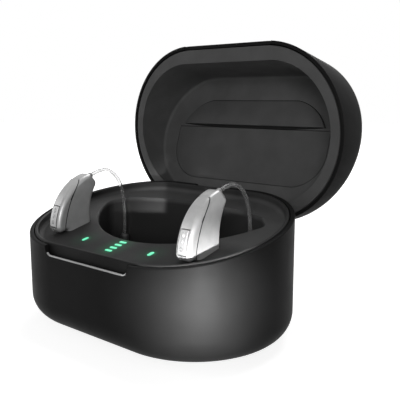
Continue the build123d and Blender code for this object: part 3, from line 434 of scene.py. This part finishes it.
def smooth_group(angle):
    """A modifier's node group that shades smooth and keeps edges over an angle sharp."""
    group = bpy.data.node_groups.new("smooth_by_angle", "GeometryNodeTree")
    group.interface.new_socket("Geometry", in_out="INPUT", socket_type="NodeSocketGeometry")
    group.interface.new_socket("Geometry", in_out="OUTPUT", socket_type="NodeSocketGeometry")
    entry = group.nodes.new("NodeGroupInput")
    leave = group.nodes.new("NodeGroupOutput")
    faces = group.nodes.new("GeometryNodeSetShadeSmooth")
    edges = group.nodes.new("GeometryNodeSetShadeSmooth")
    edges.domain = "EDGE"
    edges.inputs["Shade Smooth"].default_value = False
    turn = group.nodes.new("GeometryNodeInputMeshEdgeAngle")
    over = group.nodes.new("FunctionNodeCompare")
    over.inputs["B"].default_value = angle
    group.links.new(turn.outputs["Unsigned Angle"], over.inputs["A"])
    group.links.new(entry.outputs[0], faces.inputs["Geometry"])
    group.links.new(faces.outputs["Geometry"], edges.inputs["Geometry"])
    group.links.new(over.outputs["Result"], edges.inputs["Selection"])
    group.links.new(edges.outputs["Geometry"], leave.inputs[0])
    return group


sharp_edges = smooth_group(radians(28))


def shade(obj):
    """Joins the mesh's doubled points and shades it smooth, with its real edges sharp."""
    weld = obj.modifiers.new("weld", "WELD")
    weld.merge_threshold = 0.001 * MM
    smooth = obj.modifiers.new("smooth", "NODES")
    smooth.node_group = sharp_edges


slot_of = {row["node"]: row["material_slot"] for row in frame["record"]["subparts"]}
for name, node in nodes.items():
    paint(node, FINISHES[slot_of[name]])
    shade(node)
paint(nodes["lid_lower_panel"], panel_plastic)
for side, x in SIDES:
    paint(wires[side], clear)
    paint(nodes[f"{side}_aid_wire_plug"], plug_grey)


# Pieces that the construction leaves plain
def ride(obj, shader, body):
    paint(obj, shader)
    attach(obj, body)


def solid(name, points, faces):
    """A mesh from points in millimetres."""
    data = bpy.data.meshes.new(name)
    data.from_pydata([mm(*point) for point in points], [], faces)
    data.validate()
    return add(name, data)


def slab(name, outline, low, high, place):
    """A slab over an outline, whose height above its plane is given at each point."""
    count = len(outline)
    points = [place(u, v, low) for u, v in outline] + [place(u, v, high(u, v)) for u, v in outline]
    faces = [tuple(range(count - 1, -1, -1)), tuple(range(count, 2 * count))]
    faces += [(i, (i + 1) % count, count + (i + 1) % count, count + i) for i in range(count)]
    return solid(name, points, faces)


def arc_points(centre, radius, start, end, steps):
    """Points of an arc, with its angles in degrees."""
    angles = [radians(start + (end - start) * i / steps) for i in range(steps + 1)]
    return [(centre[0] + radius * cos(a), centre[1] + radius * sin(a)) for a in angles]


# Lid ceiling: rows run back along it, from the middle of the closed lid
open_turn = radians(102.4)
hinge_y, hinge_z = 30.2, 36.0
ceiling_tilt = radians(5.0)
ceiling_z = 52.6


def on_ceiling(x, row, proud):
    """A point on the open lid's ceiling, so far out of its face."""
    y = row * cos(ceiling_tilt) - proud * sin(ceiling_tilt)
    z = ceiling_z - row * sin(ceiling_tilt) - proud * cos(ceiling_tilt)
    dy, dz = y - hinge_y, z - hinge_z
    return (
        x,
        hinge_y + dy * cos(open_turn) + dz * sin(open_turn),
        hinge_z - dy * sin(open_turn) + dz * cos(open_turn),
    )


# Hold pad: a wedge with a straight front edge and round front corners, over a dark sheet of painted
# shadow
pad_half, pad_straight_half = 34.2, 21.0
pad_front_row, pad_back_row = -15.2, -5.0
pad_corner_radius = 18.0
pad_base, pad_front_height, pad_back_height = 0.02, 0.12, 0.88
pad_edge_bevel = 0.1
shadow_width, shadow_bulge = 0.28, 1.15
shadow_base, shadow_top = -0.1, 0.03


def pad_outline(margin, bulge):
    """The hold pad's outline, drawn out by a margin, with its back edge bowed by a bulge."""
    half, front_row = pad_half + margin, pad_front_row - margin
    radius = pad_corner_radius + margin
    reach_x, reach_y = half - pad_straight_half, pad_back_row - front_row
    chord = hypot(reach_x, reach_y)
    rise = sqrt(radius**2 - (chord / 2) ** 2)
    middle = ((pad_straight_half + half) / 2, (front_row + pad_back_row) / 2)
    centre = (middle[0] - reach_y / chord * rise, middle[1] + reach_x / chord * rise)
    start = degrees(atan2(front_row - centre[1], pad_straight_half - centre[0]))
    end = degrees(atan2(pad_back_row - centre[1], half - centre[0]))
    right = arc_points(centre, radius, start, end, 16)
    left = [(-u, v) for u, v in reversed(right)]
    steps = 8
    shares = [i / steps for i in range(steps - 1, -steps, -1)]
    back = [(half * share, pad_back_row + bulge * (1 - share**4)) for share in shares]
    return right + back + left


def pad_height(x, row):
    """The wedge's height, which grows from its front row to its back row."""
    share = (row - pad_front_row) / (pad_back_row - pad_front_row)
    return pad_front_height + (pad_back_height - pad_front_height) * share


def shadow_height(x, row):
    return shadow_top


pad = slab("hold_pad", pad_outline(0, 0), pad_base, pad_height, on_ceiling)
bevel = pad.modifiers.new("edge", "BEVEL")
bevel.width = pad_edge_bevel * MM
bevel.segments = 2
ride(pad, panel_plastic, "lid")
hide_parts("lid_hold_pad")
shade(pad)

# Painted shadow: a thin dark sheet a little larger than the pad, showing under its edge
shadow_outline = pad_outline(shadow_width, shadow_bulge)
pad_shadow = slab("hold_pad_painted_shadow", shadow_outline, shadow_base, shadow_height, on_ceiling)
ride(pad_shadow, rubber, "lid")

# Polished lower edge of the front notch, just inside the case's front face: real polish, and its
# pale grey is a painted highlight
notch_half, notch_bottom, notch_corner = 19.5, 26.7, 2.5
notch_corner_start, notch_corner_end = 222, 270
notch_flat_half = 12
edge_radius, edge_inset, edge_lift = 0.4, 0.5, 0.08
case_straight_half, case_end_radius = 18, 32.0

corner_centre = (notch_corner - notch_half, notch_bottom + notch_corner)
corner = arc_points(corner_centre, notch_corner, notch_corner_start, notch_corner_end, 6)
route = corner + [(-notch_flat_half, notch_bottom), (notch_flat_half, notch_bottom)]
route += [(-u, v) for u, v in reversed(corner)]


def front_wall(x):
    """Where the case's front face lies at a distance from the middle."""
    past = max(abs(x) - case_straight_half, 0)
    return -sqrt(case_end_radius**2 - past**2)


edge_points = [(u, front_wall(u) + edge_inset, v + edge_lift) for u, v in route]
edge = tube("notch_edge", edge_points, edge_radius, 2)
ride(edge, polish_and_painted_highlight, "base")


# Hearing aids: the seam, and the marks of the button, from points of the side profile
def circle_through(a, b, c):
    """Centre and radius of the circle through three points."""
    d = 2 * (a[0] * (b[1] - c[1]) + b[0] * (c[1] - a[1]) + c[0] * (a[1] - b[1]))
    squares = [point[0] ** 2 + point[1] ** 2 for point in (a, b, c)]
    x = (
        squares[0] * (b[1] - c[1]) + squares[1] * (c[1] - a[1]) + squares[2] * (a[1] - b[1])
    ) / d
    y = (
        squares[0] * (c[0] - b[0]) + squares[1] * (a[0] - c[0]) + squares[2] * (b[0] - a[0])
    ) / d
    return (x, y), hypot(a[0] - x, a[1] - y)


aid_half, aid_rounding = 3.0, 1.6
spine_centre, spine_radius = circle_through((5.65, 28.1), (-5.95, 20.8), (-9.65, 7.9))
seam_centre, seam_radius = circle_through((3.5, 29.2), (-3.65, 19.8), (-6.65, 10.5))
seam_foot_back, seam_foot_heights = -6.65, (8.9, 9.8)
seam_low, seam_high, seam_points = 10.5, 28.6, 60
seam_end_depth = 0.03
seam_tube_radius = 0.15

# Marks: each has its height on the spine, with a dome's two radii and rise or a ring's two radii
rocker_proud = 0.35
ridge_sunk = 0.05
ridge_height, ridge_size = 16.1, (0.95, 0.55, 0.42)
lower_ridge_height, lower_ridge_size = 14.2, (0.7, 0.45, 0.3)
ring_height, ring_size = 12.1, (0.52, 0.13)
nub_height, nub_size = 9.5, (0.42, 0.16)
nub_hole_size, nub_hole_proud = (0.3, 0.3, 0.08), 0.02


def seam_route():
    """The seam over one side of an aid, from its foot to the spine: out, back and up."""
    route = [(aid_half, seam_foot_back, height) for height in seam_foot_heights]
    for i in range(seam_points):
        height = seam_low + (seam_high - seam_low) * i / (seam_points - 1)
        back = seam_centre[0] - sqrt(seam_radius**2 - (height - seam_centre[1]) ** 2)
        depth = spine_radius - hypot(back - spine_centre[0], height - spine_centre[1])
        if depth < seam_end_depth:
            break
        short = max(aid_rounding - depth, 0)
        half = aid_half - aid_rounding + sqrt(aid_rounding**2 - short**2)
        route.append((half, back, height))
    return route


def on_spine(x, height, proud):
    """A place so far out of an aid's spine, and the direction out of it."""
    angle = pi - asin((height - spine_centre[1]) / spine_radius)
    out = Vector((0, cos(angle), sin(angle)))
    centre = mm(x, aid_y + spine_centre[0], foot_bottom + spine_centre[1])
    return centre + out * (spine_radius + proud) * MM, out


def place_on_spine(obj, spot):
    place, out = spot
    obj.rotation_mode = "QUATERNION"
    obj.rotation_quaternion = out.to_track_quat("Z", "X")
    obj.location = place


def ring(name, major, minor, spot):
    """A small round ring in millimetres."""
    around, across = 32, 10
    points, faces = [], []
    for i in range(around):
        a = 2 * pi * i / around
        for j in range(across):
            b = 2 * pi * j / across
            reach = major + minor * cos(b)
            points.append((reach * cos(a), reach * sin(a), minor * sin(b)))
            k, m = (i + 1) % around, (j + 1) % across
            faces.append((i * across + j, k * across + j, k * across + m, i * across + m))
    obj = solid(name, points, faces)
    place_on_spine(obj, spot)
    return obj


def dome(name, radius_x, radius_y, height, spot):
    """A low oval dome, whole as an ellipsoid, half of it sunk."""
    rows, around = 12, 28
    points = [(0, 0, -height)]
    for i in range(1, rows):
        b = pi * i / rows - pi / 2
        for j in range(around):
            a = 2 * pi * j / around
            points.append((radius_x * cos(b) * cos(a), radius_y * cos(b) * sin(a), height * sin(b)))
    points.append((0, 0, height))
    faces = [(0, 1 + (j + 1) % around, 1 + j) for j in range(around)]
    for i in range(rows - 2):
        a, b = 1 + i * around, 1 + (i + 1) * around
        faces += [(a + j, a + (j + 1) % around, b + (j + 1) % around, b + j) for j in range(around)]
    last = 1 + (rows - 2) * around
    faces += [(last + j, last + (j + 1) % around, len(points) - 1) for j in range(around)]
    obj = solid(name, points, faces)
    place_on_spine(obj, spot)
    return obj


def add_seam(side, x):
    """The dark seam of an aid, up its right side and down its left."""
    half_seam = seam_route()
    over = half_seam + [(-half, back, height) for half, back, height in reversed(half_seam)]
    points = [(x + half, aid_y + back, foot_bottom + height) for half, back, height in over]
    seam = tube(f"{side}_seam", points, seam_tube_radius, 2)
    ride(seam, seam_dark, f"{side}_aid")


def add_ridge(name, size, x, height, body):
    """A plain ridge on an aid's button, sunk a little so that its foot doesn't show."""
    ridge = dome(name, *size, on_spine(x, height, rocker_proud - ridge_sunk))
    ride(ridge, aid_silver_light, body)


def add_button_marks(side, x):
    """The two ridges and the ring on an aid's button."""
    body = f"{side}_rocker"
    add_ridge(f"{side}_button_ridge", ridge_size, x, ridge_height, body)
    add_ridge(f"{side}_button_lower_ridge", lower_ridge_size, x, lower_ridge_height, body)
    mark = ring(f"{side}_button_ring", *ring_size, on_spine(x, ring_height, rocker_proud))
    ride(mark, aid_grey, body)


def add_nub(side, x):
    """The small round nub below an aid's button, with its hole."""
    nub_ring = ring(f"{side}_nub", *nub_size, on_spine(x, nub_height, 0.0))
    ride(nub_ring, aid_grey, f"{side}_aid")
    nub_hole = dome(f"{side}_nub_hole", *nub_hole_size, on_spine(x, nub_height, nub_hole_proud))
    ride(nub_hole, seam_dark, f"{side}_aid")


for side, x in SIDES:
    add_seam(side, x)
    add_button_marks(side, x)
    add_nub(side, x)


# Room, floor and lights, in metres and watts
def seen(tree):
    """1 to the camera and in gloss and glass, and 0 to everything else."""
    path = tree.nodes.new("ShaderNodeLightPath")
    largest = path.outputs["Is Camera Ray"]
    for ray in ("Is Glossy Ray", "Is Transmission Ray"):
        node = tree.nodes.new("ShaderNodeMath")
        node.operation = "MAXIMUM"
        tree.links.new(largest, node.inputs[0])
        tree.links.new(path.outputs[ray], node.inputs[1])
        largest = node.outputs[0]
    return largest


def add_sky(light_strength, shown_strength):
    """White surroundings that light the object less than they show."""
    world = bpy.data.worlds.new("room")
    bpy.context.scene.world = world
    world.use_nodes = True
    tree = world.node_tree
    lighting, shown = tree.nodes["Background"], tree.nodes.new("ShaderNodeBackground")
    mixed = tree.nodes.new("ShaderNodeMixShader")
    tree.links.new(seen(tree), mixed.inputs["Fac"])
    for node, strength, socket in (
        (lighting, light_strength, mixed.inputs[1]),
        (shown, shown_strength, mixed.inputs[2]),
    ):
        node.inputs["Color"].default_value = WHITE
        node.inputs["Strength"].default_value = strength
        tree.links.new(node.outputs[0], socket)
    tree.links.new(mixed.outputs[0], tree.nodes["World Output"].inputs["Surface"])


def add_floor(half, near_glow, far_glow, near_distance, far_distance):
    """A floor that looks white, a little darker near the object, and takes its shadow."""
    data = bpy.data.meshes.new("floor")
    corners = [(-half, -half, 0), (half, -half, 0), (half, half, 0), (-half, half, 0)]
    data.from_pydata(corners, [], [(0, 1, 2, 3)])
    floor = add("floor", data)
    shader = Shader(
        "floor",
        Roughness=0.9,
        Specular_IOR_Level=0.1,
        Base_Color=(0.6, 0.6, 0.6, 1),
        Emission_Color=WHITE,
    )
    distance = shader.tree.nodes.new("ShaderNodeVectorMath")
    distance.operation = "LENGTH"
    shader.link(shader.place, distance.inputs[0])
    shown = shader.spread(
        distance.outputs["Value"], near_glow, far_glow, near_distance, far_distance
    )
    shader.into("Emission Strength", shader.maths("MULTIPLY", seen(shader.tree), shown))
    paint(floor, shader)


def soft_light(name, azimuth, elevation, distance, width, height, watts, aim=(10, 0, 40)):
    """A soft box that faces the object from an azimuth and an elevation in degrees."""
    data = bpy.data.lights.new(name, "AREA")
    data.shape = "RECTANGLE"
    data.size = width
    data.size_y = height
    data.energy = watts
    light = add(name, data)
    direction = toward(azimuth, elevation)
    light.location = mm(*aim) + direction * distance
    face(light, -direction)


def beam_light(name, start, end, watts, angle, size):
    """A narrow beam with a soft edge, whose full angle is in degrees."""
    data = bpy.data.lights.new(name, "SPOT")
    data.energy = watts
    data.spot_size = radians(angle)
    data.spot_blend = 1.0
    data.shadow_soft_size = size
    light = add(name, data)
    light.location = start
    face(light, end - start)


add_sky(light_strength=0.16, shown_strength=1.0)
add_floor(half=1.6, near_glow=0.8, far_glow=1.0, near_distance=0.1, far_distance=0.5)

soft_light("front", 36, 14, distance=0.9, width=0.35, height=0.25, watts=3.3, aim=(0, 20, 60))
soft_light("rear_top", 190, 64, distance=0.7, width=0.4, height=0.3, watts=2.4)
soft_light("left_fill", -62, 14, distance=0.8, width=0.3, height=0.4, watts=0.9)
soft_light("back_fill", 215, 20, distance=0.9, width=0.4, height=0.3, watts=1.6)

# The beam leaves a soft upright highlight on the right of the case's front
beam_from, beam_at = Vector((0.34, -0.31, 0.012)), mm(34, -18, 19)
beam_light("beam", beam_from, beam_at, watts=100.0, angle=5.2, size=0.012)

bpy.context.scene.view_settings.view_transform = "Standard"
